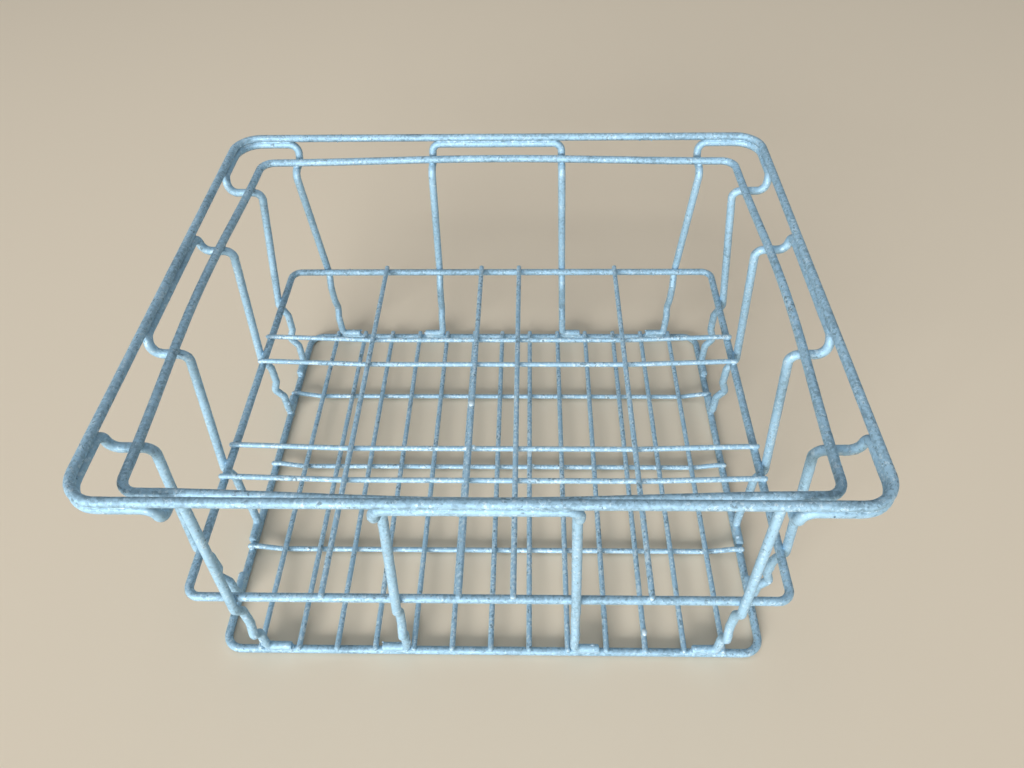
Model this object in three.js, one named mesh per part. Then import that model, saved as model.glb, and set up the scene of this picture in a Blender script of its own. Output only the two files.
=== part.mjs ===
// Bottle crate of welded, galvanised steel wire. Millimetres, z up, standing on z = 0,
// x along the crate and y across it. Every wire is a mesh of its own.
import * as THREE from 'three';

// Outside of the crate
const crateLength = 500;
const crateWidth = 422;
const crateHeight = 249;

// Wire stock, and the gap left at every weld
const heavyWire = 6;
const lightWire = 4;
const weldGap = 0.3;

// The base ring stands inside the outer rim; the two rings between are a little wider than it
const baseInsetLong = 25;
const baseInsetCross = 19.5;
const dividerFlare = 2;
const dividerHeight = 97;
const stackingFlare = 1.5;
const stackingDrop = 16;
const stackingBow = 6;

// Corner radii of the four rings, to the middle of the wire
const rimCorner = 22;
const stackingCorner = 12;
const dividerCorner = 10;
const baseCorner = 14;

// Bottle cells and floor wires
const cellSize = 101.5;
const columnGap = 40;
const rowGap = 33.5;
const floorCrossCount = 13;
const floorLongCount = 3;

// Hairpin legs: where they stand along a side
const footClearance = 0.5;
const hairpinBay = 2;
const cornerLegFromEnd = 46;
const footLength = 20;
const legSplay = 7;

// Hairpin legs: shape from the foot up
const notchStart = 33;
const notchHeight = 43;
const notchReach = 7;
const waistReach = 2.5;
const waistLow = 56;
const waistHigh = 76;
const kneeDrop = 7;
const shoulderInset = 8;
const dropLean = 2;

// Bending radii of the hairpins and the long wires, to the middle of the wire
const footBend = 5;
const kinkBend = 5;
const shoulderBend = 7;
const shelfBend = 8;
const barBend = 8;
const dipBend = 20;

// Facets
const sectionSides = 8;
const bendStep = Math.PI / 6;
const bowSteps = [-0.75, -0.5, -0.25, 0, 0.25, 0.5, 0.75];

const heavyHalf = heavyWire / 2;
const lightHalf = lightWire / 2;
const heavyOnHeavy = heavyWire + weldGap;
const lightOnHeavy = heavyHalf + lightHalf + weldGap;
const lightOnLight = lightWire + weldGap;

const rim = {
  length: crateLength - heavyWire,
  width: crateWidth - heavyWire,
  height: crateHeight - heavyHalf,
  corner: rimCorner,
  bow: 0,
};
const base = {
  length: rim.length - 2 * baseInsetLong,
  width: rim.width - 2 * baseInsetCross,
  height: heavyHalf,
  corner: baseCorner,
  bow: 0,
};
const divider = {
  length: base.length + 2 * dividerFlare,
  width: base.width + 2 * dividerFlare,
  height: dividerHeight,
  corner: dividerCorner,
  bow: 0,
};
const stacking = {
  length: base.length + 2 * stackingFlare,
  width: base.width + 2 * stackingFlare,
  height: rim.height - stackingDrop,
  corner: stackingCorner,
  bow: stackingBow,
};

// Each side has a direction along it, counter-clockwise from above, and one outwards
const front = { along: [1, 0], out: [0, -1], spans: 'length', faces: 'width' };
const right = { along: [0, 1], out: [1, 0], spans: 'width', faces: 'length' };
const back = { along: [-1, 0], out: [0, 1], spans: 'length', faces: 'width' };
const left = { along: [0, -1], out: [-1, 0], spans: 'width', faces: 'length' };
const sidesInOrder = [front, right, back, left];

function at(side, along, out, height) {
  const x = side.along[0] * along + side.out[0] * out;
  const y = side.along[1] * along + side.out[1] * out;
  return new THREE.Vector3(x, y, height);
}

function halfSpan(ring, side) {
  return ring[side.spans] / 2;
}

function railOut(ring, side, along) {
  const swell = (1 + Math.cos((Math.PI * along) / halfSpan(ring, side))) / 2;
  return ring[side.faces] / 2 + ring.bow * swell;
}

// A bent wire is a list of corners, each with its bending radius
function corner(point, bend = 0) {
  return { point, bend };
}

function bendAt(before, { point, bend }, after) {
  const incoming = point.clone().sub(before).normalize();
  const outgoing = after.clone().sub(point).normalize();
  const turn = incoming.angleTo(outgoing);
  if (bend === 0 || turn < 1e-6) return [point];
  const axis = incoming.clone().cross(outgoing).normalize();
  const inward = axis.clone().cross(incoming);
  const start = point.clone().addScaledVector(incoming, -bend * Math.tan(turn / 2));
  const centre = start.clone().addScaledVector(inward, bend);
  const steps = Math.ceil(turn / bendStep);
  const arc = [];
  for (let step = 0; step <= steps; step += 1) {
    const spoke = inward.clone().multiplyScalar(-bend);
    spoke.applyAxisAngle(axis, (turn * step) / steps);
    arc.push(centre.clone().add(spoke));
  }
  return arc;
}

function bentPath(corners, closed) {
  const last = corners.length - 1;
  return corners.flatMap((here, index) => {
    if (!closed && (index === 0 || index === last)) return [here.point];
    const before = corners[(index + last) % corners.length];
    const after = corners[(index + 1) % corners.length];
    return bendAt(before.point, here, after.point);
  });
}

function tangentAt(path, index, closed) {
  const count = path.length;
  const before = closed ? (index + count - 1) % count : Math.max(index - 1, 0);
  const after = closed ? (index + 1) % count : Math.min(index + 1, count - 1);
  const arriving = path[index].clone().sub(path[before]).normalize();
  const leaving = path[after].clone().sub(path[index]).normalize();
  return arriving.add(leaving).normalize();
}

// The axis that the wire runs most nearly square to; the section's flats face it
function facingAxis(tangent) {
  const axes = [
    new THREE.Vector3(0, 0, 1),
    new THREE.Vector3(1, 0, 0),
    new THREE.Vector3(0, 1, 0),
  ];
  const slant = axes.map((axis) => Math.abs(axis.dot(tangent)));
  return axes[slant.indexOf(Math.min(...slant))];
}

function squareTo(tangent, direction) {
  return direction.clone().addScaledVector(tangent, -direction.dot(tangent)).normalize();
}

function sectionRings(path, wire, closed) {
  const step = (2 * Math.PI) / sectionSides;
  const radius = wire / 2 / Math.cos(step / 2);
  let mark = null;
  return path.map((point, index) => {
    const tangent = tangentAt(path, index, closed);
    const across = squareTo(tangent, facingAxis(tangent));
    const beside = tangent.clone().cross(across);
    const carried = mark === null ? across : squareTo(tangent, mark);
    const drift = Math.atan2(carried.dot(beside), carried.dot(across));
    const first = Math.round(drift / step) * step;
    const around = (angle, size) =>
      across.clone().multiplyScalar(size * Math.cos(angle))
        .addScaledVector(beside, size * Math.sin(angle));
    mark = around(first, 1);
    return Array.from({ length: sectionSides }, (_, side) =>
      around(first + (side + 0.5) * step, radius).add(point));
  });
}

function wireGeometry(path, wire, closed) {
  const rings = sectionRings(path, wire, closed);
  const positions = rings.flat().flatMap((vertex) => vertex.toArray());
  const faces = [];
  const spans = closed ? rings.length : rings.length - 1;
  for (let span = 0; span < spans; span += 1) {
    const near = span * sectionSides;
    const far = ((span + 1) % rings.length) * sectionSides;
    for (let side = 0; side < sectionSides; side += 1) {
      const next = (side + 1) % sectionSides;
      faces.push(near + side, near + next, far + next);
      faces.push(near + side, far + next, far + side);
    }
  }
  if (!closed) {
    const end = (rings.length - 1) * sectionSides;
    for (let side = 1; side < sectionSides - 1; side += 1) {
      faces.push(0, side + 1, side);
      faces.push(end, end + side, end + side + 1);
    }
  }
  const geometry = new THREE.BufferGeometry();
  geometry.setAttribute('position', new THREE.Float32BufferAttribute(positions, 3));
  geometry.setIndex(faces);
  geometry.computeVertexNormals();
  return geometry;
}

const crate = new THREE.Group();
crate.name = 'bottle_crate';

const heavyZinc = { color: 0x9db2be, roughness: 0.45, metalness: 0.8 };
const lightZinc = { color: 0x8fa3ae, roughness: 0.5, metalness: 0.8 };

function addWire(name, corners, wire, closed = false) {
  const finish = wire === heavyWire ? heavyZinc : lightZinc;
  const geometry = wireGeometry(bentPath(corners, closed), wire, closed);
  const mesh = new THREE.Mesh(geometry, new THREE.MeshStandardMaterial(finish));
  mesh.name = name;
  crate.add(mesh);
}

// Four closed rings
function ringCorners(ring) {
  return sidesInOrder.flatMap((side) => {
    const half = halfSpan(ring, side);
    const start = at(side, -half, ring[side.faces] / 2, ring.height);
    const bowed = ring.bow === 0 ? [] : bowSteps;
    const rail = bowed.map((part) =>
      corner(at(side, part * half, railOut(ring, side, part * half), ring.height)));
    return [corner(start, ring.corner), ...rail];
  });
}

addWire('outer_rim', ringCorners(rim), heavyWire, true);
addWire('stacking_rim', ringCorners(stacking), heavyWire, true);
addWire('divider_ring', ringCorners(divider), heavyWire, true);
addWire('base_ring', ringCorners(base), heavyWire, true);

// Hairpins: a bar under the outer rim, and legs that end in feet on the base ring
const floorCrossPitch = base.length / (floorCrossCount + 1);
const floorLongPitch = base.width / (floorLongCount + 1);
const outermostFloorCross = ((floorCrossCount - 1) / 2) * floorCrossPitch;
const besideFloorWire = heavyHalf + lightHalf + footClearance;
const hairpinLeg = hairpinBay * floorCrossPitch + besideFloorWire;
const cornerLegLong = outermostFloorCross - besideFloorWire;
const cornerLegCross = base.width / 2 - cornerLegFromEnd;
const barHeight = rim.height - heavyOnHeavy;
const shelfHeight = stacking.height - heavyOnHeavy;
const footHeight = base.height + heavyOnHeavy;

function legCorners(side, along, barWay) {
  const topAlong = along + barWay * legSplay;
  const rimOut = railOut(rim, side, topAlong);
  const shelfOut = railOut(stacking, side, topAlong);
  const shoulderOut = shelfOut - shoulderInset;
  const weldOut = railOut(divider, side, along) + heavyOnHeavy;
  const footOut = railOut(base, side, along);
  const lean = (weldOut - shoulderOut) / (shelfHeight - divider.height);
  const kneeOut = weldOut + lean * kneeDrop;
  const leg = [
    [footOut, footHeight, footBend],
    [footOut, notchStart, kinkBend],
    [footOut + notchReach, notchHeight, kinkBend],
    [footOut + waistReach, waistLow, kinkBend],
    [footOut + waistReach, waistHigh, kinkBend],
    [kneeOut, divider.height - kneeDrop, kinkBend],
    [shoulderOut, shelfHeight, shoulderBend],
    [rimOut - dropLean, shelfHeight, shelfBend],
    [rimOut, barHeight, barBend],
  ];
  const rise = (height) => Math.min(1, (height - footHeight) / (shelfHeight - footHeight));
  const alongAt = (height) => along + (topAlong - along) * rise(height);
  const toe = at(side, along - barWay * footLength, footOut, footHeight);
  const bends = leg.map(([out, height, bend]) =>
    corner(at(side, alongAt(height), out, height), bend));
  return [corner(toe), ...bends];
}

function sideHairpin(name, side) {
  const rising = legCorners(side, -hairpinLeg, 1);
  const falling = legCorners(side, hairpinLeg, -1).reverse();
  addWire(name, [...rising, ...falling], heavyWire);
}

function cornerHairpin(name, side, nextSide) {
  const legOn = (here) => (here.spans === 'length' ? cornerLegLong : cornerLegCross);
  const rising = legCorners(side, legOn(side), 1);
  const falling = legCorners(nextSide, -legOn(nextSide), -1).reverse();
  const turn = at(side, halfSpan(rim, side), rim[side.faces] / 2, barHeight);
  addWire(name, [...rising, corner(turn, rim.corner), ...falling], heavyWire);
}

sideHairpin('hairpin_front', front);
sideHairpin('hairpin_right', right);
sideHairpin('hairpin_back', back);
sideHairpin('hairpin_left', left);
cornerHairpin('corner_front_right', front, right);
cornerHairpin('corner_back_right', right, back);
cornerHairpin('corner_back_left', back, left);
cornerHairpin('corner_front_left', left, front);

// Cross wires run straight over the ring; long wires end on it and dip under the cross wires
function crossWire(name, ring, x) {
  const reach = ring.width / 2 + heavyHalf;
  const height = ring.height + lightOnHeavy;
  const ends = [-reach, reach].map((y) => corner(new THREE.Vector3(x, y, height)));
  addWire(name, ends, lightWire);
}

function longWire(name, ring, y, outermostCross) {
  const height = ring.height + lightOnHeavy;
  const dipped = height - lightOnLight;
  const half = [
    [ring.length / 2 + heavyHalf, height],
    [ring.length / 2 - heavyWire, height],
    [outermostCross + lightWire, dipped],
  ];
  const leftHalf = half.map(([x, z]) => corner(new THREE.Vector3(-x, y, z), dipBend));
  const rightHalf = half.map(([x, z]) => corner(new THREE.Vector3(x, y, z), dipBend));
  addWire(name, [...leftHalf, ...rightHalf.reverse()], lightWire);
}

const innerColumn = columnGap / 2;
const outerColumn = innerColumn + cellSize;
const innerRow = cellSize / 2;
const outerRow = innerRow + rowGap;
[-outerColumn, -innerColumn, innerColumn, outerColumn].forEach((x, index) => {
  crossWire(`divider_cross_${index + 1}`, divider, x);
});
[-outerRow, -innerRow, innerRow, outerRow].forEach((y, index) => {
  longWire(`divider_long_${index + 1}`, divider, y, outerColumn);
});

for (let index = 0; index < floorCrossCount; index += 1) {
  const x = index * floorCrossPitch - outermostFloorCross;
  crossWire(`floor_cross_${index + 1}`, base, x);
}
for (let index = 0; index < floorLongCount; index += 1) {
  const y = (index - (floorLongCount - 1) / 2) * floorLongPitch;
  longWire(`floor_long_${index + 1}`, base, y, outermostFloorCross);
}

export default crate;
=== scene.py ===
import math

import bpy
from mathutils import Matrix, Vector


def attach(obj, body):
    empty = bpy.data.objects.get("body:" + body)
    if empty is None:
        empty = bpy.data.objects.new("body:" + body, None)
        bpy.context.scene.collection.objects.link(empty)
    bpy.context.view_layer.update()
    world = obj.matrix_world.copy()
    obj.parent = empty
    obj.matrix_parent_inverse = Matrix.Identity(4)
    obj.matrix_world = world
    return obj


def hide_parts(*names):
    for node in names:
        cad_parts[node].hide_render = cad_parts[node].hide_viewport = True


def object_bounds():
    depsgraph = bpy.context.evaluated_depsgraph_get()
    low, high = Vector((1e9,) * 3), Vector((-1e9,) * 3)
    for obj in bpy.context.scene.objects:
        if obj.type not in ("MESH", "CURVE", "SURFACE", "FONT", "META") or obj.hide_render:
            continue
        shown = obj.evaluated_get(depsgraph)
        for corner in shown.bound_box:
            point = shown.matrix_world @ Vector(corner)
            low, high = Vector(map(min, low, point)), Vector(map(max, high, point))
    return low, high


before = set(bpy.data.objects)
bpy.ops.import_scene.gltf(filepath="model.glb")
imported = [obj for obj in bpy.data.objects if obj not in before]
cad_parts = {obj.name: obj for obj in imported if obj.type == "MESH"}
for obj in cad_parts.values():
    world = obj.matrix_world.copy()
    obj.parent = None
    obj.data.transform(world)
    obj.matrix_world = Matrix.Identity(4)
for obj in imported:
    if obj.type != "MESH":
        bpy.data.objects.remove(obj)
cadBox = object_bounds()
print("frame loaded, wires:", len(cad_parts))

mm = 0.001
upWay = Vector((0, 0, 1))
rightWay = Vector((1, 0, 0))


# Node helpers

def pickSocket(sockets, key):
    if isinstance(key, int):
        return sockets[key]
    return next(s for s in sockets if s.enabled and key in (s.name, s.identifier))


class Feed:  # a node's output; sums and products of values become Math nodes
    def __init__(self, board, socket):
        self.board = board
        self.socket = socket

    def joined(self, operation, first, second):
        return self.board.add("ShaderNodeMath", {"operation": operation}, {0: first, 1: second})

    def other(self, name):  # another output of the same node
        return Feed(self.board, pickSocket(self.socket.node.outputs, name))

    def __add__(self, more):
        return self.joined("ADD", self, more)

    def __sub__(self, less):
        return self.joined("SUBTRACT", self, less)

    def __rsub__(self, whole):
        return self.joined("SUBTRACT", whole, self)

    def __mul__(self, times):
        return self.joined("MULTIPLY", self, times)

    def __pow__(self, power):
        return self.joined("POWER", self, power)

    __radd__ = __add__
    __rmul__ = __mul__


class NodeBoard:
    def __init__(self, tree):
        tree.nodes.clear()
        self.tree = tree

    def add(self, kind, settings={}, sockets={}, out=0):
        node = self.tree.nodes.new(kind)
        for name, value in settings.items():
            setattr(node, name, value)
        for key, value in sockets.items():
            target = pickSocket(node.inputs, key)
            if isinstance(value, Feed):
                self.tree.links.new(value.socket, target)
            else:
                target.default_value = value
        return Feed(self, pickSocket(node.outputs, out)) if node.outputs else node

    def asks(self, wanted):  # the named inputs of a geometry tree
        for name, kind in wanted.items():
            self.tree.interface.new_socket(name, in_out="INPUT", socket_type="NodeSocket" + kind)
        first = self.add("NodeGroupInput")
        return {name: first.other(name) for name in wanted}

    def gives(self, geometry):
        self.tree.interface.new_socket("Mesh", in_out="OUTPUT", socket_type="NodeSocketGeometry")
        self.add("NodeGroupOutput", {}, {0: geometry})

    def vector(self, operation, first, second=(0, 0, 0)):
        return self.add("ShaderNodeVectorMath", {"operation": operation}, {0: first, 1: second})

    def scaled(self, vector, amount):
        return self.add("ShaderNodeVectorMath", {"operation": "SCALE"}, {0: vector, "Scale": amount})

    def height(self, vector):
        return self.add("ShaderNodeSeparateXYZ", {}, {0: vector}, "Z")

    def noise(self, place, size, detail=2.0, rough=0.5):
        sockets = {"Vector": place, "Scale": 1 / size, "Detail": detail, "Roughness": rough}
        return self.add("ShaderNodeTexNoise", {}, sockets)

    def ramp(self, value, low, high):  # soft step from 0 to 1
        sockets = {"Value": value, "From Min": low, "From Max": high}
        return self.add("ShaderNodeMapRange", {"interpolation_type": "SMOOTHSTEP"}, sockets, "Result")

    def tint(self, share, first, second):
        sockets = {"Factor_Float": share, "A_Color": first, "B_Color": second}
        return self.add("ShaderNodeMix", {"data_type": "RGBA"}, sockets, "Result_Color")

    def keep(self, geometry, name, value, kind="FLOAT"):
        sockets = {"Geometry": geometry, "Name": name, "Value": value}
        return self.add("GeometryNodeStoreNamedAttribute", {"data_type": kind}, sockets)

    def recall(self, name, kind="FLOAT"):
        settings = {"data_type": kind}
        return self.add("GeometryNodeInputNamedAttribute", settings, {"Name": name}, "Attribute")


# Zinc: a dipped coat, blue grey with pale flecks and dark pits, chalky low down, with painted shade on
# the undersides

coatValues = {
    "deep": (0.165, 0.265, 0.34, 1),
    "middle": (0.41, 0.635, 0.795, 1),
    "bright": (0.69, 0.85, 0.94, 1),
    "chalk": (0.53, 0.715, 0.85, 1),
    "pit": (0.085, 0.12, 0.145, 1),
    # the dark colour painted as shade on surfaces that face down
    "grime": (0.045, 0.058, 0.068, 1),
    "patchSize": 0.040, "mottleSize": 0.0042, "spangleSize": 0.0018,
    "grainSize": 0.0008, "bloomSize": 0.006, "streakSize": 0.0016,
    "streakStretch": 0.10, "clustering": 0.4, "toneCentre": 0.425, "toneSpan": (0.20, 0.80),
    "fleckFade": 0.10, "pitFade": 0.15, "chalkFade": 0.10,
    "lowSpan": (0.02, 0.12), "underSpan": (0.15, 0.95),
    "pitShare": 0.65, "chalkShare": 0.8, "undersideShadeShare": 0.6,
    "roughness": 0.60, "metallic": 0.48, "bumpStrength": 0.5, "bumpDepth": 0.0004,
}

# lift makes the tone lighter; flecks, pits and chalk say where each begins, and less gives more of it;
# lowChalk adds chalk near the floor; fleckShare is how strongly the flecks show
zincKinds = {
    "ringZinc": {"lift": 0.12, "flecks": 0.91, "pits": 0.81, "chalk": 0.66,
                 "lowChalk": 0.00, "fleckShare": 0.60},
    "legZinc": {"lift": 0.22, "flecks": 0.90, "pits": 0.85, "chalk": 0.70,
                "lowChalk": 0.12, "fleckShare": 0.60},
    "lightZinc": {"lift": 0.34, "flecks": 0.785, "pits": 0.775, "chalk": 0.64,
                  "lowChalk": 0.00, "fleckShare": 0.80},
    "weldZinc": {"lift": 0.14, "flecks": 0.82, "pits": 0.92, "chalk": 0.58,
                 "lowChalk": 0.05, "fleckShare": 0.65},
    "crustZinc": {"lift": 0.22, "flecks": 0.70, "pits": 1.10, "chalk": 0.34,
                  "lowChalk": 0.05, "fleckShare": 0.65},
    "whiteZinc": {"lift": 0.45, "flecks": 0.25, "pits": 1.10, "chalk": 0.80,
                  "lowChalk": 0.00, "fleckShare": 1.00},
}


def zincCoat(name, kind):
    values = coatValues
    material = bpy.data.materials.new(name)
    material.use_nodes = True
    board = NodeBoard(material.node_tree)
    place = board.add("ShaderNodeTexCoord", out="Object")
    alongWire = board.add("ShaderNodeAttribute", {"attribute_name": "wireSpace"}, {}, "Vector")
    facing = board.height(board.add("ShaderNodeNewGeometry", out="Normal"))
    level = board.height(place)

    patches = board.noise(place, values["patchSize"], 3, 0.55)
    mottle = board.noise(place, values["mottleSize"], 5, 0.62)
    grain = board.noise(place, values["grainSize"], 2, 0.6)
    drawn = board.vector("MULTIPLY", alongWire, (values["streakStretch"], 1, 1))
    streaks = board.noise(drawn, values["streakSize"], 3, 0.6)
    sockets = {"Vector": place, "Scale": 1 / values["spangleSize"]}
    cells = board.add("ShaderNodeTexVoronoi", {}, sockets, "Color")
    spangle = board.add("ShaderNodeSeparateColor", {}, {0: cells}, "Red")

    lift = kind["lift"] - values["toneCentre"]
    tone = patches * 0.6 + mottle * 0.6 + streaks * 0.4 + spangle * 0.25 + lift
    clusters = (patches - 0.5) * values["clustering"]  # flecks and pits gather in some patches
    flecks = spangle.other("Green") * 0.7 + grain * 0.6 + clusters
    flecks = board.ramp(flecks, kind["flecks"], kind["flecks"] + values["fleckFade"])
    pits = mottle * 0.8 + streaks * 0.5 + spangle.other("Blue") * 0.15 + clusters
    pits = board.ramp(pits, kind["pits"], kind["pits"] + values["pitFade"])
    low = 1 - board.ramp(level, *values["lowSpan"])
    bloom = board.noise(place, values["bloomSize"], 6, 0.72) + low * kind["lowChalk"]
    bloom = board.ramp(bloom, kind["chalk"], kind["chalk"] + values["chalkFade"])
    # painted shade: the more a surface faces down, the darker it is made
    under = board.ramp(0 - facing, *values["underSpan"])

    colour = board.tint(board.ramp(tone, *values["toneSpan"]), values["deep"], values["middle"])
    colour = board.tint(pits * values["pitShare"], colour, values["pit"])
    colour = board.tint(flecks * kind["fleckShare"], colour, values["bright"])
    colour = board.tint(bloom * values["chalkShare"], colour, values["chalk"])
    # painted shade on the undersides, stronger in some patches than in others
    colour = board.tint(under * values["undersideShadeShare"] * (0.5 + patches), colour, values["grime"])
    rough = values["roughness"] + mottle * 0.14 + bloom * 0.22 - flecks * 0.06
    metal = values["metallic"] - bloom * 0.35
    relief = mottle * 0.6 + grain * 0.4 + bloom * 0.5
    sockets = {"Strength": values["bumpStrength"], "Distance": values["bumpDepth"], "Height": relief}
    bump = board.add("ShaderNodeBump", {}, sockets)
    sockets = {"Base Color": colour, "Roughness": rough, "Metallic": metal, "Normal": bump}
    shader = board.add("ShaderNodeBsdfPrincipled", {}, sockets)
    board.add("ShaderNodeOutputMaterial", {}, {"Surface": shader})
    return material


zinc = {name: zincCoat(name, kind) for name, kind in zincKinds.items()}
print("zinc mixed")


# Geometry trees: bent wire, weld nuggets, specks of dross

boxAsks = {"Box low": "Vector", "Box high": "Vector", "Zinc": "Material"}
treeValues = {
    "bendSteps": 10, "lumpSize": 0.0026, "rippleSize": 0.012,
    "pinchSize": 0.008, "pinchSpan": (0.40, 0.55), "ballSegments": 8, "ballRings": 5,
    "nuggetLumpSize": 0.0025, "nuggetLeast": 0.85, "nuggetMost": 1.2,
    "speckSunk": 0.0001, "speckLowSpan": (0.030, 0.085), "speckLeast": 0.5, "speckMost": 1.3,
}


def uneven(board, mesh, amount, size):  # skin in and out by the amount
    spot = board.add("GeometryNodeInputPosition")
    swell = (board.noise(spot, size, 3, 0.55) - 0.5) * 2 * amount
    offset = board.scaled(board.add("GeometryNodeInputNormal"), swell)
    return board.add("GeometryNodeSetPosition", {}, {"Geometry": mesh, "Offset": offset})


def closeTree(board, ask, mesh):  # held inside the crate's box, smooth, realized, coated
    spot = board.add("GeometryNodeInputPosition")
    held = board.vector("MINIMUM", board.vector("MAXIMUM", spot, ask["Box low"]), ask["Box high"])
    mesh = board.add("GeometryNodeSetPosition", {}, {"Geometry": mesh, "Position": held})
    mesh = board.add("GeometryNodeSetShadeSmooth", {}, {"Geometry": mesh})
    mesh = board.add("GeometryNodeRealizeInstances", {}, {"Geometry": mesh})
    board.gives(board.add("GeometryNodeSetMaterial", {}, {"Geometry": mesh, "Material": ask["Zinc"]}))
    return board.tree


def bentCurve(board, curve):  # each corner rounded by its own bending radius
    bend = board.add("GeometryNodeInputRadius")
    sockets = {"Curve": curve, "Count": treeValues["bendSteps"], "Radius": bend}
    return board.add("GeometryNodeFilletCurve", {"mode": "POLY"}, sockets)


def littleBall(board):
    sockets = {"Segments": treeValues["ballSegments"], "Rings": treeValues["ballRings"], "Radius": 1.0}
    return board.add("GeometryNodeMeshUVSphere", {}, sockets)


def oneMesh(board, balls):  # with the attribute that the zinc reads
    mesh = board.add("GeometryNodeRealizeInstances", {}, {"Geometry": balls})
    return board.keep(mesh, "wireSpace", board.add("GeometryNodeInputPosition"), "FLOAT_VECTOR")


def rodTree(name, normalMode):
    board = NodeBoard(bpy.data.node_groups.new(name, "GeometryNodeTree"))
    ask = board.asks({
        "Curve": "Geometry", "Section width": "Float", "Section height": "Float", "Sides": "Int",
        "Ring spacing": "Float", "End rounding": "Float", "End girth": "Float", "Pinch": "Float",
        "Lump": "Float", "Ripple": "Float", "Start": "Float", **boxAsks})
    rod = board.add("GeometryNodeResampleCurve", {"mode": "LENGTH"},
                    {"Curve": bentCurve(board, ask["Curve"]), "Length": ask["Ring spacing"]})
    rod = board.add("GeometryNodeSetCurveNormal", {"mode": normalMode}, {"Curve": rod})
    walked = board.add("GeometryNodeSplineParameter", out="Length")
    rod = board.keep(rod, "walked", walked + ask["Start"])

    whole = board.add("GeometryNodeSplineLength")
    fromEnd = board.add("ShaderNodeMath", {"operation": "MINIMUM"}, {0: walked, 1: whole - walked})
    share = board.add("ShaderNodeMath", {"operation": "DIVIDE", "use_clamp": True},
                      {0: fromEnd, 1: ask["End rounding"]})
    rounded = 1 - (1 - ask["End girth"]) * (1 - (share * (2 - share)) ** 0.5)
    ringed = board.add("GeometryNodeInputSplineCyclic")
    along = board.noise(board.add("GeometryNodeInputPosition"), treeValues["pinchSize"])
    thick = 1 - (1 - board.ramp(along, *treeValues["pinchSpan"])) * ask["Pinch"]
    size = thick * (1 - (1 - rounded) * (1 - ringed))

    sockets = {"Resolution": ask["Sides"], "Radius": 0.5}  # one across, then scaled
    section = board.add("GeometryNodeCurvePrimitiveCircle", {}, sockets)
    sockets = {0: ask["Section width"], 1: ask["Section height"], 2: 1.0}
    spans = board.add("ShaderNodeCombineXYZ", {}, sockets)
    section = board.add("GeometryNodeTransform", {}, {"Geometry": section, "Scale": spans})
    around = board.add("GeometryNodeSplineParameter", out="Factor")
    section = board.keep(section, "around", around * math.tau)
    mesh = board.add("GeometryNodeCurveToMesh", {},
                     {"Curve": rod, "Profile Curve": section, "Scale": size, "Fill Caps": True})

    angle = board.recall("around")
    half = ask["Section width"] * 0.5
    flatX = board.add("ShaderNodeMath", {"operation": "COSINE"}, {0: angle}) * half
    flatY = board.add("ShaderNodeMath", {"operation": "SINE"}, {0: angle}) * half
    unrolled = board.add("ShaderNodeCombineXYZ", {}, {0: board.recall("walked"), 1: flatX, 2: flatY})
    mesh = board.keep(mesh, "wireSpace", unrolled, "FLOAT_VECTOR")
    mesh = uneven(board, mesh, ask["Lump"], treeValues["lumpSize"])
    return closeTree(board, ask, uneven(board, mesh, ask["Ripple"], treeValues["rippleSize"]))


def nuggetTree():
    board = NodeBoard(bpy.data.node_groups.new("weldNuggets", "GeometryNodeTree"))
    ask = board.asks({"Points": "Geometry", "Lump": "Float", "Seed": "Int", **boxAsks})
    turn = board.add("FunctionNodeAxesToRotation", {"primary_axis": "Z", "secondary_axis": "X"},
                     {"Primary Axis": board.recall("between", "FLOAT_VECTOR"),
                      "Secondary Axis": board.recall("alongWire", "FLOAT_VECTOR")})
    sockets = {"Min": [treeValues["nuggetLeast"]] * 3, "Max": [treeValues["nuggetMost"]] * 3,
               "Seed": ask["Seed"]}
    growth = board.add("FunctionNodeRandomValue", {"data_type": "FLOAT_VECTOR"}, sockets, "Value")
    sizes = board.vector("MULTIPLY", board.recall("nuggetSize", "FLOAT_VECTOR"), growth)
    sockets = {"Points": ask["Points"], "Instance": littleBall(board), "Rotation": turn, "Scale": sizes}
    mesh = oneMesh(board, board.add("GeometryNodeInstanceOnPoints", {}, sockets))
    return closeTree(board, ask, uneven(board, mesh, ask["Lump"], treeValues["nuggetLumpSize"]))


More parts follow.
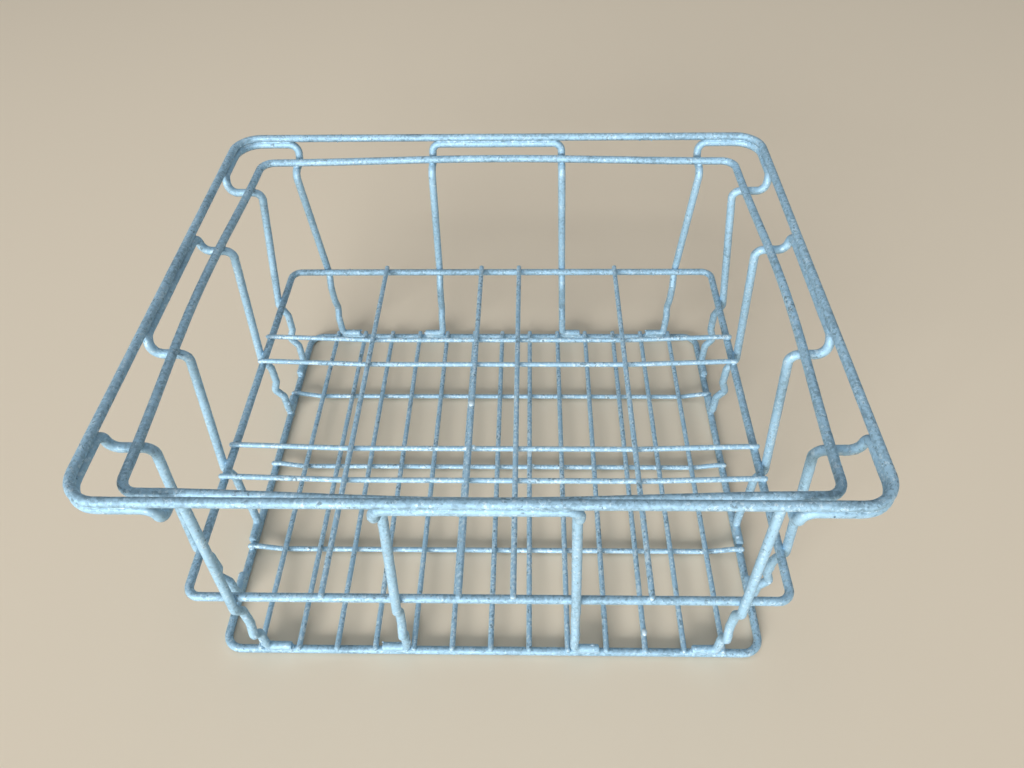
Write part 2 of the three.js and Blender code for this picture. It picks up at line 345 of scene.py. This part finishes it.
def drossTree():
    board = NodeBoard(bpy.data.node_groups.new("drossSpecks", "GeometryNodeTree"))
    ask = board.asks({
        "Curves": "Geometry", "Wire": "Float", "Spacing": "Float", "Share": "Float", "Size": "Float",
        "Flatness": "Float", "Hang": "Float", "Lowness": "Float", "Seed": "Int", **boxAsks})
    points = board.add("GeometryNodeCurveToPoints", {"mode": "LENGTH"},
                       {"Curve": bentCurve(board, ask["Curves"]), "Length": ask["Spacing"]})
    sockets = {"Min": 0.0, "Max": math.tau, "Seed": ask["Seed"]}
    angle = board.add("FunctionNodeRandomValue", {}, sockets, "Value")
    beside = board.vector("CROSS_PRODUCT", points.other("Tangent"), points.other("Normal"))
    cosine = board.add("ShaderNodeMath", {"operation": "COSINE"}, {0: angle})
    sine = board.add("ShaderNodeMath", {"operation": "SINE"}, {0: angle})
    onNormal = board.scaled(points.other("Normal"), cosine)
    outward = board.vector("ADD", onNormal, board.scaled(beside, sine))
    drop = board.add("ShaderNodeCombineXYZ", {}, {2: 0 - ask["Hang"]})
    outward = board.vector("NORMALIZE", board.vector("ADD", outward, drop))
    offset = board.scaled(outward, ask["Wire"] * 0.5 - treeValues["speckSunk"])
    level = board.height(board.add("GeometryNodeInputPosition"))
    low = 1 - board.ramp(level, *treeValues["speckLowSpan"])
    share = ask["Share"] * (1 + (low - 0.5) * ask["Lowness"])
    sockets = {"Probability": share, "Seed": ask["Seed"] + 1}
    chosen = board.add("FunctionNodeRandomValue", {"data_type": "BOOLEAN"}, sockets, "Value")
    moved = board.add("GeometryNodeSetPosition", {}, {"Geometry": points, "Offset": offset})
    turn = board.add("FunctionNodeAlignRotationToVector", {"axis": "Z"}, {"Vector": outward})
    sockets = {"Min": treeValues["speckLeast"], "Max": treeValues["speckMost"], "Seed": ask["Seed"] + 2}
    girth = board.add("FunctionNodeRandomValue", {}, sockets, "Value") * ask["Size"]
    sizes = board.add("ShaderNodeCombineXYZ", {}, {0: girth, 1: girth, 2: girth * ask["Flatness"]})
    sockets = {"Points": moved, "Selection": chosen, "Instance": littleBall(board), "Rotation": turn,
               "Scale": sizes}
    return closeTree(board, ask, oneMesh(board, board.add("GeometryNodeInstanceOnPoints", {}, sockets)))


def grow(name, source, tree, values):  # runs a tree on an object and keeps the result as a plain mesh
    modifier = source.modifiers.new(tree.name, "NODES")
    modifier.node_group = tree
    values = {**values, "Box low": cadBox[0], "Box high": cadBox[1]}
    for item in tree.interface.items_tree:
        if item.in_out == "INPUT" and item.name in values:
            modifier[item.identifier] = values[item.name]
    bpy.context.scene.collection.objects.link(source)
    graph = bpy.context.evaluated_depsgraph_get()
    mesh = bpy.data.meshes.new_from_object(source.evaluated_get(graph), depsgraph=graph)
    source.modifiers.remove(modifier)
    bpy.data.objects.remove(source)
    mesh.name = name
    mesh.materials.clear()
    mesh.materials.append(values["Zinc"])
    piece = bpy.data.objects.new(name, mesh)
    bpy.context.scene.collection.objects.link(piece)
    return piece


wireTree = rodTree("bentWire", "MINIMUM_TWIST")
beadTree = rodTree("seamBead", "Z_UP")
weldTree = nuggetTree()
speckTree = drossTree()
print("trees built")


# The four rings and the four sides, millimetres

crate = {"length": 500, "width": 422, "height": 249}
stock = {
    "heavyWire": 6, "lightWire": 4, "weldGap": 0.3,
    "heavyCoat": 0.35, "legCoat": 0.55, "lightCoat": 0.32,
}
heavyHalf = stock["heavyWire"] / 2
lightHalf = stock["lightWire"] / 2
heavyOnHeavy = stock["heavyWire"] + stock["weldGap"]
lightOnHeavy = heavyHalf + lightHalf + stock["weldGap"]
lightOnLight = stock["lightWire"] + stock["weldGap"]

rimInset = heavyHalf + stock["heavyCoat"]  # the coated rim and base ring just fill the crate's box
rimRing = {
    "length": crate["length"] - 2 * rimInset, "width": crate["width"] - 2 * rimInset,
    "height": crate["height"] - rimInset, "corner": 22, "bow": 0,
}
baseRing = {"length": 444, "width": 377, "height": rimInset, "corner": 14, "bow": 0}
dividerRing = {"length": 448, "width": 381, "height": 97, "corner": 10, "bow": 0}
stackingRing = {"length": 447, "width": 380, "height": 230, "corner": 12, "bow": 6}

frontSide = {"along": (1, 0), "out": (0, -1), "spans": "length", "faces": "width"}
rightSide = {"along": (0, 1), "out": (1, 0), "spans": "width", "faces": "length"}
backSide = {"along": (-1, 0), "out": (0, 1), "spans": "length", "faces": "width"}
leftSide = {"along": (0, -1), "out": (-1, 0), "spans": "width", "faces": "length"}
sidesInOrder = [frontSide, rightSide, backSide, leftSide]


def spotAt(side, along, out, height):
    x = side["along"][0] * along + side["out"][0] * out
    y = side["along"][1] * along + side["out"][1] * out
    return Vector((x, y, height)) * mm


def railOut(ring, side, along):
    half = ring[side["spans"]] / 2
    return ring[side["faces"]] / 2 + ring["bow"] * (1 + math.cos(math.pi * along / half)) / 2


def pathCurve(name, paths):  # corners as (place, bending radius); the radius rides on the point
    data = bpy.data.curves.new(name, "CURVE")
    data.dimensions = "3D"
    for corners, closed in paths:
        spline = data.splines.new("POLY")
        spline.points.add(len(corners) - 1)
        spline.use_cyclic_u = closed
        for point, (place, bend) in zip(spline.points, corners):
            point.co = (*place, 1)
            point.radius = bend * mm
    return bpy.data.objects.new(name, data)


wireValues = {
    "ring": {"wire": stock["heavyWire"], "coat": stock["heavyCoat"], "Zinc": zinc["ringZinc"],
             "slot": "zinc_heavy", "Sides": 18, "Lump": 0.00016, "Ripple": 0.00010, "End girth": 1.0},
    "leg": {"wire": stock["heavyWire"], "coat": stock["legCoat"], "Zinc": zinc["legZinc"],
            "slot": "zinc_heavy", "Sides": 18, "Lump": 0.00022, "Ripple": 0.00014, "End girth": 0.84},
    "light": {"wire": stock["lightWire"], "coat": stock["lightCoat"], "Zinc": zinc["lightZinc"],
              "slot": "zinc_light", "Sides": 14, "Lump": 0.00012, "Ripple": 0.00008, "End girth": 0.60},
}
layValues = {"ringSpacing": 0.0011, "endRounding": 0.22, "streakStart": 2.3}
laid = {"ring": [], "leg": [], "light": []}


def coatedGirth(kind):
    return (wireValues[kind]["wire"] + 2 * wireValues[kind]["coat"]) * mm


def layWire(node, corners, kind, closed=False):
    kindValues = wireValues[kind]
    laid[kind].append((corners, closed))
    girth = coatedGirth(kind)
    count = sum(len(paths) for paths in laid.values())
    values = {
        "Section width": girth, "Section height": girth, "Ring spacing": layValues["ringSpacing"],
        "End rounding": girth * layValues["endRounding"], "Pinch": 0.0,
        "Start": count * layValues["streakStart"],  # so that no two wires have the same streaks
    }
    words = node.split("_")
    name = words[0] + "".join(word.capitalize() for word in words[1:]) + "Wire"
    piece = grow(name, pathCurve(name, [(corners, closed)]), wireTree, {**values, **kindValues})
    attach(piece, "root")
    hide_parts(node)


# Rings: each starts at its butt joint

buttJoints = {  # side and place along it
    "outer_rim": (backSide, 150), "stacking_rim": (rightSide, 60),
    "divider_ring": (backSide, 164), "base_ring": (leftSide, -70),
}
bowSteps = 28


def ringCorners(ring, joint):
    jointSide, jointAlong = joint
    first = sidesInOrder.index(jointSide)
    corners = []
    sideCount = len(sidesInOrder)
    for turn in range(sideCount + 1):  # the joint's side comes first and last
        side = sidesInOrder[(first + turn) % sideCount]
        half = ring[side["spans"]] / 2
        start = jointAlong if turn == 0 else -half
        end = jointAlong if turn == sideCount else half
        if turn > 0:
            corner = spotAt(side, -half, ring[side["faces"]] / 2, ring["height"])
            corners.append((corner, ring["corner"]))
        steps = bowSteps if ring["bow"] else 0
        marks = [half * (2 * step / steps - 1) for step in range(1, steps)]
        clear = half - ring["corner"]
        inner = [mark for mark in marks if start < mark < end and abs(mark) < clear]
        if turn == 0:
            inner = [jointAlong] + inner
        corners += [(spotAt(side, mark, railOut(ring, side, mark), ring["height"]), 0) for mark in inner]
    return corners


nuggetSizes = {  # half sizes in millimetres, the last between the wires
    "butt": (3.7, 4.5, 1.2), "leg": (3.1, 3.1, 1.4),
    "wireEnd": (2.5, 2.5, 1.2), "crossing": (2.0, 2.0, 0.95),
}
nuggets = []  # place, direction between the wires, direction of one wire, half sizes
jointSlant = math.radians(35)
for node, ring in [("outer_rim", rimRing), ("stacking_rim", stackingRing),
                   ("divider_ring", dividerRing), ("base_ring", baseRing)]:
    side, along = buttJoints[node]
    out = spotAt(side, 0, 1, 0).normalized()
    slanted = spotAt(side, math.cos(jointSlant), 0, math.sin(jointSlant)).normalized()
    spot = spotAt(side, along, railOut(ring, side, along), ring["height"])
    nuggets.append((spot, slanted, out, nuggetSizes["butt"]))
    layWire(node, ringCorners(ring, buttJoints[node]), "ring", True)
print("rings laid")


# Hairpins: bar under the outer rim, two legs, two feet on the base ring

legValues = {
    "footClearance": 0.5, "hairpinBay": 2, "cornerLegFromEnd": 46, "footLength": 20, "splay": 7,
    "notchStart": 33, "notchHeight": 43, "notchReach": 7,
    "waistReach": 2.5, "waistLow": 56, "waistHigh": 76,
    "kneeDrop": 7, "shoulderInset": 8, "dropLean": 2,
    "footBend": 5, "kinkBend": 5, "shoulderBend": 7, "shelfBend": 8, "barBend": 8,
    "seamPastToe": 1.5, "seamPastHeel": 2,
}
gridValues = {
    "cell": 101.5, "columnGap": 40, "rowGap": 33.5,
    "floorCross": 13, "floorLong": 3, "dipBend": 20,
}

floorPitch = baseRing["length"] / (gridValues["floorCross"] + 1)
floorLongPitch = baseRing["width"] / (gridValues["floorLong"] + 1)
outermostFloor = (gridValues["floorCross"] - 1) / 2 * floorPitch
besideWire = heavyHalf + lightHalf + legValues["footClearance"]
hairpinLeg = legValues["hairpinBay"] * floorPitch + besideWire
cornerLegs = {
    "length": outermostFloor - besideWire,
    "width": baseRing["width"] / 2 - legValues["cornerLegFromEnd"],
}
barHeight = rimRing["height"] - heavyOnHeavy
shelfHeight = stackingRing["height"] - heavyOnHeavy
footHeight = baseRing["height"] + heavyOnHeavy

seams = []
footSeams = []


def legCorners(side, along, barWay):
    v = legValues
    top = along + barWay * v["splay"]
    rimOut = railOut(rimRing, side, top)
    shelfOut = railOut(stackingRing, side, top)
    shoulderOut = shelfOut - v["shoulderInset"]
    weldOut = railOut(dividerRing, side, along) + heavyOnHeavy
    footOut = railOut(baseRing, side, along)
    lean = (weldOut - shoulderOut) / (shelfHeight - dividerRing["height"])
    kneeOut = weldOut + lean * v["kneeDrop"]
    leg = [
        (footOut, footHeight, v["footBend"]),
        (footOut, v["notchStart"], v["kinkBend"]),
        (footOut + v["notchReach"], v["notchHeight"], v["kinkBend"]),
        (footOut + v["waistReach"], v["waistLow"], v["kinkBend"]),
        (footOut + v["waistReach"], v["waistHigh"], v["kinkBend"]),
        (kneeOut, dividerRing["height"] - v["kneeDrop"], v["kinkBend"]),
        (shoulderOut, shelfHeight, v["shoulderBend"]),
        (rimOut - v["dropLean"], shelfHeight, v["shelfBend"]),
        (rimOut, barHeight, v["barBend"]),
    ]

    def alongAt(height):
        return along + (top - along) * min(1, (height - footHeight) / (shelfHeight - footHeight))

    alongWay = spotAt(side, 1, 0, 0).normalized()
    outWay = spotAt(side, 0, 1, 0).normalized()
    level = dividerRing["height"]
    onDivider = spotAt(side, alongAt(level), weldOut - heavyOnHeavy / 2, level)
    onShelf = spotAt(side, top, shelfOut, shelfHeight + heavyOnHeavy / 2)
    nuggets.append((onDivider, outWay, alongWay, nuggetSizes["leg"]))
    nuggets.append((onShelf, upWay, alongWay, nuggetSizes["leg"]))
    toe = along - barWay * v["footLength"]
    seamHeight = (footHeight + baseRing["height"]) / 2
    seamEnds = (toe - barWay * v["seamPastToe"], along + barWay * v["seamPastHeel"])
    footSeams.append([(spotAt(side, end, footOut, seamHeight), 0) for end in seamEnds])
    bends = [(spotAt(side, alongAt(height), out, height), bend) for out, height, bend in leg]
    return [(spotAt(side, toe, footOut, footHeight), 0)] + bends


seamLift = (barHeight + rimRing["height"]) / 2
for word, side in [("front", frontSide), ("right", rightSide), ("back", backSide), ("left", leftSide)]:
    rising = legCorners(side, -hairpinLeg, 1)
    falling = legCorners(side, hairpinLeg, -1)[::-1]
    layWire("hairpin_" + word, rising + falling, "leg")
    reach = hairpinLeg - legValues["splay"] - legValues["barBend"] / 2
    rimOut = rimRing[side["faces"]] / 2
    seams.append([(spotAt(side, end, rimOut, seamLift), 0) for end in (-reach, reach)])

for word, side, nextSide in [("front_right", frontSide, rightSide), ("back_right", rightSide, backSide),
                             ("back_left", backSide, leftSide), ("front_left", leftSide, frontSide)]:
    rising = legCorners(side, cornerLegs[side["spans"]], 1)
    falling = legCorners(nextSide, -cornerLegs[nextSide["spans"]], -1)[::-1]
    turn = spotAt(side, rimRing[side["spans"]] / 2, rimRing[side["faces"]] / 2, barHeight)
    layWire("corner_" + word, rising + [(turn, rimRing["corner"])] + falling, "leg")
    start = cornerLegs[side["spans"]] + legValues["splay"] + legValues["barBend"] / 2
    end = -cornerLegs[nextSide["spans"]] - legValues["splay"] - legValues["barBend"] / 2
    lifted = turn + upWay * (seamLift - barHeight) * mm
    seams.append([
        (spotAt(side, start, rimRing[side["faces"]] / 2, seamLift), 0),
        (lifted, rimRing["corner"]),
        (spotAt(nextSide, end, rimRing[nextSide["faces"]] / 2, seamLift), 0),
    ])
print("hairpins bent")


# Divider and floor: straight cross wires on the ring, long wires that dip under them

def weldAt(x, y, z, size):
    nuggets.append((Vector((x, y, z)) * mm, upWay, rightWay, nuggetSizes[size]))


def crossWire(node, ring, x):
    reach = ring["width"] / 2 + heavyHalf
    height = ring["height"] + lightOnHeavy
    layWire(node, [(Vector((x, way * reach, height)) * mm, 0) for way in (-1, 1)], "light")
    for way in (-1, 1):
        weldAt(x, way * ring["width"] / 2, ring["height"] + heavyHalf + stock["weldGap"] / 2, "wireEnd")


def longWire(node, ring, y, crossings):
    height = ring["height"] + lightOnHeavy
    dipped = height - lightOnLight
    half = [
        (ring["length"] / 2 + heavyHalf, height),
        (ring["length"] / 2 - stock["heavyWire"], height),
        (max(crossings) + stock["lightWire"], dipped),
    ]
    bend = gridValues["dipBend"]
    leftHalf = [(Vector((-x, y, z)) * mm, bend) for x, z in half]
    rightHalf = [(Vector((x, y, z)) * mm, bend) for x, z in half[::-1]]
    layWire(node, leftHalf + rightHalf, "light")
    for way in (-1, 1):
        weldAt(way * ring["length"] / 2, y, ring["height"] + heavyHalf + stock["weldGap"] / 2, "wireEnd")
    for x in crossings:
        weldAt(x, y, height - lightOnLight / 2, "crossing")


innerColumn = gridValues["columnGap"] / 2
outerColumn = innerColumn + gridValues["cell"]
innerRow = gridValues["cell"] / 2
outerRow = innerRow + gridValues["rowGap"]
columns = [-outerColumn, -innerColumn, innerColumn, outerColumn]
floorColumns = [index * floorPitch - outermostFloor for index in range(gridValues["floorCross"])]
for index, x in enumerate(columns):
    crossWire(f"divider_cross_{index + 1}", dividerRing, x)
for index, y in enumerate([-outerRow, -innerRow, innerRow, outerRow]):
    longWire(f"divider_long_{index + 1}", dividerRing, y, columns)
for index, x in enumerate(floorColumns):
    crossWire(f"floor_cross_{index + 1}", baseRing, x)
for index in range(gridValues["floorLong"]):
    y = (index - (gridValues["floorLong"] - 1) / 2) * floorLongPitch
    longWire(f"floor_long_{index + 1}", baseRing, y, floorColumns)
print("divider and floor laid")


# Welds: nuggets where wires cross, beads where they lie side by side, specks and drips of zinc

def nuggetPoints(name, spots):
    mesh = bpy.data.meshes.new(name)
    mesh.from_pydata([spot[0] for spot in spots], [], [])
    for column, label in [(1, "between"), (2, "alongWire")]:
        layer = mesh.attributes.new(label, "FLOAT_VECTOR", "POINT")
        layer.data.foreach_set("vector", [part for spot in spots for part in spot[column]])
    layer = mesh.attributes.new("nuggetSize", "FLOAT_VECTOR", "POINT")
    layer.data.foreach_set("vector", [part * mm for spot in spots for part in spot[3]])
    return bpy.data.objects.new(name, mesh)


beadValues = {
    "Section width": 0.0056, "Section height": 0.0036, "Sides": 12, "Ring spacing": 0.0012,
    "End rounding": 0.003, "End girth": 0.45, "Pinch": 0.40, "Lump": 0.00022, "Ripple": 0.0001,
    "Start": 40.0, "Zinc": zinc["weldZinc"],
}
footBeadValues = {
    **beadValues, "Section width": 0.0068, "Section height": 0.0046, "Pinch": 0.15, "Start": 44.0,
}
nuggetValues = {"Lump": 0.0003, "Seed": 4, "Zinc": zinc["weldZinc"]}
crustValues = {"Lump": 0.0005, "Seed": 9, "Zinc": zinc["whiteZinc"]}
crusts = [  # lumps of white zinc on the divider and the floor: place and half sizes in millimetres
    ((-20.4, -4.0, 104.0), (2.8, 4.2, 1.8)),
    ((-16.3, -51.5, 100.8), (2.7, 2.7, 2.0)),
    ((-22.9, -51.5, 100.2), (1.3, 1.6, 1.3)),
    ((35.2, 0.5, 6.8), (2.0, 1.8, 1.3)),
    ((31.9, 13.0, 10.4), (2.1, 6.0, 1.0)),
    ((127.4, -174.5, 10.2), (2.7, 3.6, 1.8)),
]
drossValues = {  # the kind of wire it sits on, its slot and the tree's inputs
    "ringSpecks": {
        "on": "ring", "slot": "zinc_heavy", "Zinc": zinc["weldZinc"], "Seed": 11, "Spacing": 0.0026,
        "Share": 0.16, "Size": 0.0007, "Flatness": 0.45, "Hang": 0.0, "Lowness": 1.1},
    "legSpecks": {
        "on": "leg", "slot": "zinc_heavy", "Zinc": zinc["weldZinc"], "Seed": 17, "Spacing": 0.0018,
        "Share": 0.36, "Size": 0.0007, "Flatness": 0.45, "Hang": 0.0, "Lowness": 1.1},
    "legLumps": {
        "on": "leg", "slot": "zinc_heavy", "Zinc": zinc["crustZinc"], "Seed": 29, "Spacing": 0.0026,
        "Share": 0.16, "Size": 0.0014, "Flatness": 0.36, "Hang": 0.0, "Lowness": 2.0},
    "lightSpecks": {
        "on": "light", "slot": "zinc_light", "Zinc": zinc["whiteZinc"], "Seed": 23, "Spacing": 0.0026,
        "Share": 0.18, "Size": 0.0006, "Flatness": 0.50, "Hang": 0.0, "Lowness": 0.6},
    "ringDrips": {
        "on": "ring", "slot": "zinc_heavy", "Zinc": zinc["weldZinc"], "Seed": 37, "Spacing": 0.011,
        "Share": 0.14, "Size": 0.0010, "Flatness": 0.90, "Hang": 6.0, "Lowness": 1.1},
}

crustSpots = [(Vector(place) * mm, upWay, rightWay, sizes) for place, sizes in crusts]
seamPaths = pathCurve("seamPaths", [(seam, False) for seam in seams])
footSeamPaths = pathCurve("footSeamPaths", [(seam, False) for seam in footSeams])
pieces = [
    (grow("weldNuggets", nuggetPoints("weldSpots", nuggets), weldTree, nuggetValues), "zinc_heavy"),
    (grow("zincCrusts", nuggetPoints("crustSpots", crustSpots), weldTree, crustValues), "zinc_light"),
    (grow("seamBeads", seamPaths, beadTree, beadValues), "zinc_heavy"),
    (grow("footBeads", footSeamPaths, beadTree, footBeadValues), "zinc_heavy"),
]
for name, values in drossValues.items():
    wires = pathCurve(name + "Wires", laid[values["on"]])
    inputs = {**values, "Wire": coatedGirth(values["on"])}
    pieces.append((grow(name, wires, speckTree, inputs), values["slot"]))
for piece, slot in pieces:
    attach(piece, "root")
print("welds:", len(nuggets), "seams:", len(seams))


# Stage, light and camera

stageValues = {
    "floorSpan": 40.0, "floorColour": (0.83, 0.72, 0.565, 1), "floorRoughness": 0.7,
    "worldColour": (0.93, 0.97, 1.0, 1), "worldStrength": 0.26,
}
lampAim = Vector((0.0, 0.0, 0.1))
lampValues = {  # beam in degrees; a narrower one keeps the floor under the lamp from glaring
    "windowLamp": {"place": (-3.1, -7.9, 2.9), "width": 7.0, "height": 2.6, "watts": 335, "beam": 100},
    "skyLamp": {"place": (0.0, 0.5, 2.4), "width": 2.4, "height": 2.4, "watts": 11, "beam": 180},
}
cameraValues = {  # place in metres, angles in degrees, lens and sensor in millimetres
    "place": (0.0321, -0.4614, 0.6211), "down": 47.04, "turn": 1.97, "roll": -1.34,
    "lens": 27.09, "sensor": 36.0, "clipStart": 0.01,
}

span = stageValues["floorSpan"] / 2
floorMesh = bpy.data.meshes.new("stageFloor")
floorCorners = [(-span, -span, 0), (span, -span, 0), (span, span, 0), (-span, span, 0)]
floorMesh.from_pydata(floorCorners, [], [(0, 1, 2, 3)])
floor = bpy.data.objects.new("stageFloor", floorMesh)
bpy.context.scene.collection.objects.link(floor)
floorPaint = bpy.data.materials.new("floorPaint")
floorPaint.use_nodes = True
floorShader = floorPaint.node_tree.nodes["Principled BSDF"]
floorShader.inputs["Base Color"].default_value = stageValues["floorColour"]
floorShader.inputs["Roughness"].default_value = stageValues["floorRoughness"]
floorMesh.materials.append(floorPaint)

world = bpy.data.worlds.new("studio")
world.use_nodes = True
sky = world.node_tree.nodes["Background"]
sky.inputs["Color"].default_value = stageValues["worldColour"]
sky.inputs["Strength"].default_value = stageValues["worldStrength"]
bpy.context.scene.world = world

for name, values in lampValues.items():
    data = bpy.data.lights.new(name, "AREA")
    data.shape = "RECTANGLE"
    data.size = values["width"]
    data.size_y = values["height"]
    data.energy = values["watts"]
    data.spread = math.radians(values["beam"])
    lamp = bpy.data.objects.new(name, data)
    lamp.location = values["place"]
    lamp.rotation_euler = (lampAim - Vector(values["place"])).to_track_quat("-Z", "Y").to_euler()
    bpy.context.scene.collection.objects.link(lamp)

lens = bpy.data.cameras.new("photoCamera")
lens.sensor_fit = "HORIZONTAL"
lens.sensor_width = cameraValues["sensor"]
lens.lens = cameraValues["lens"]
lens.clip_start = cameraValues["clipStart"]
camera = bpy.data.objects.new("photoCamera", lens)
turned = Matrix.Rotation(math.radians(cameraValues["turn"]), 4, "Z")
tipped = Matrix.Rotation(math.radians(90 - cameraValues["down"]), 4, "X")
rolled = Matrix.Rotation(math.radians(cameraValues["roll"]), 4, "Z")
camera.matrix_world = Matrix.Translation(cameraValues["place"]) @ turned @ tipped @ rolled
bpy.context.scene.collection.objects.link(camera)
bpy.context.scene.camera = camera
bpy.context.scene.view_settings.view_transform = "Standard"

print("staged")
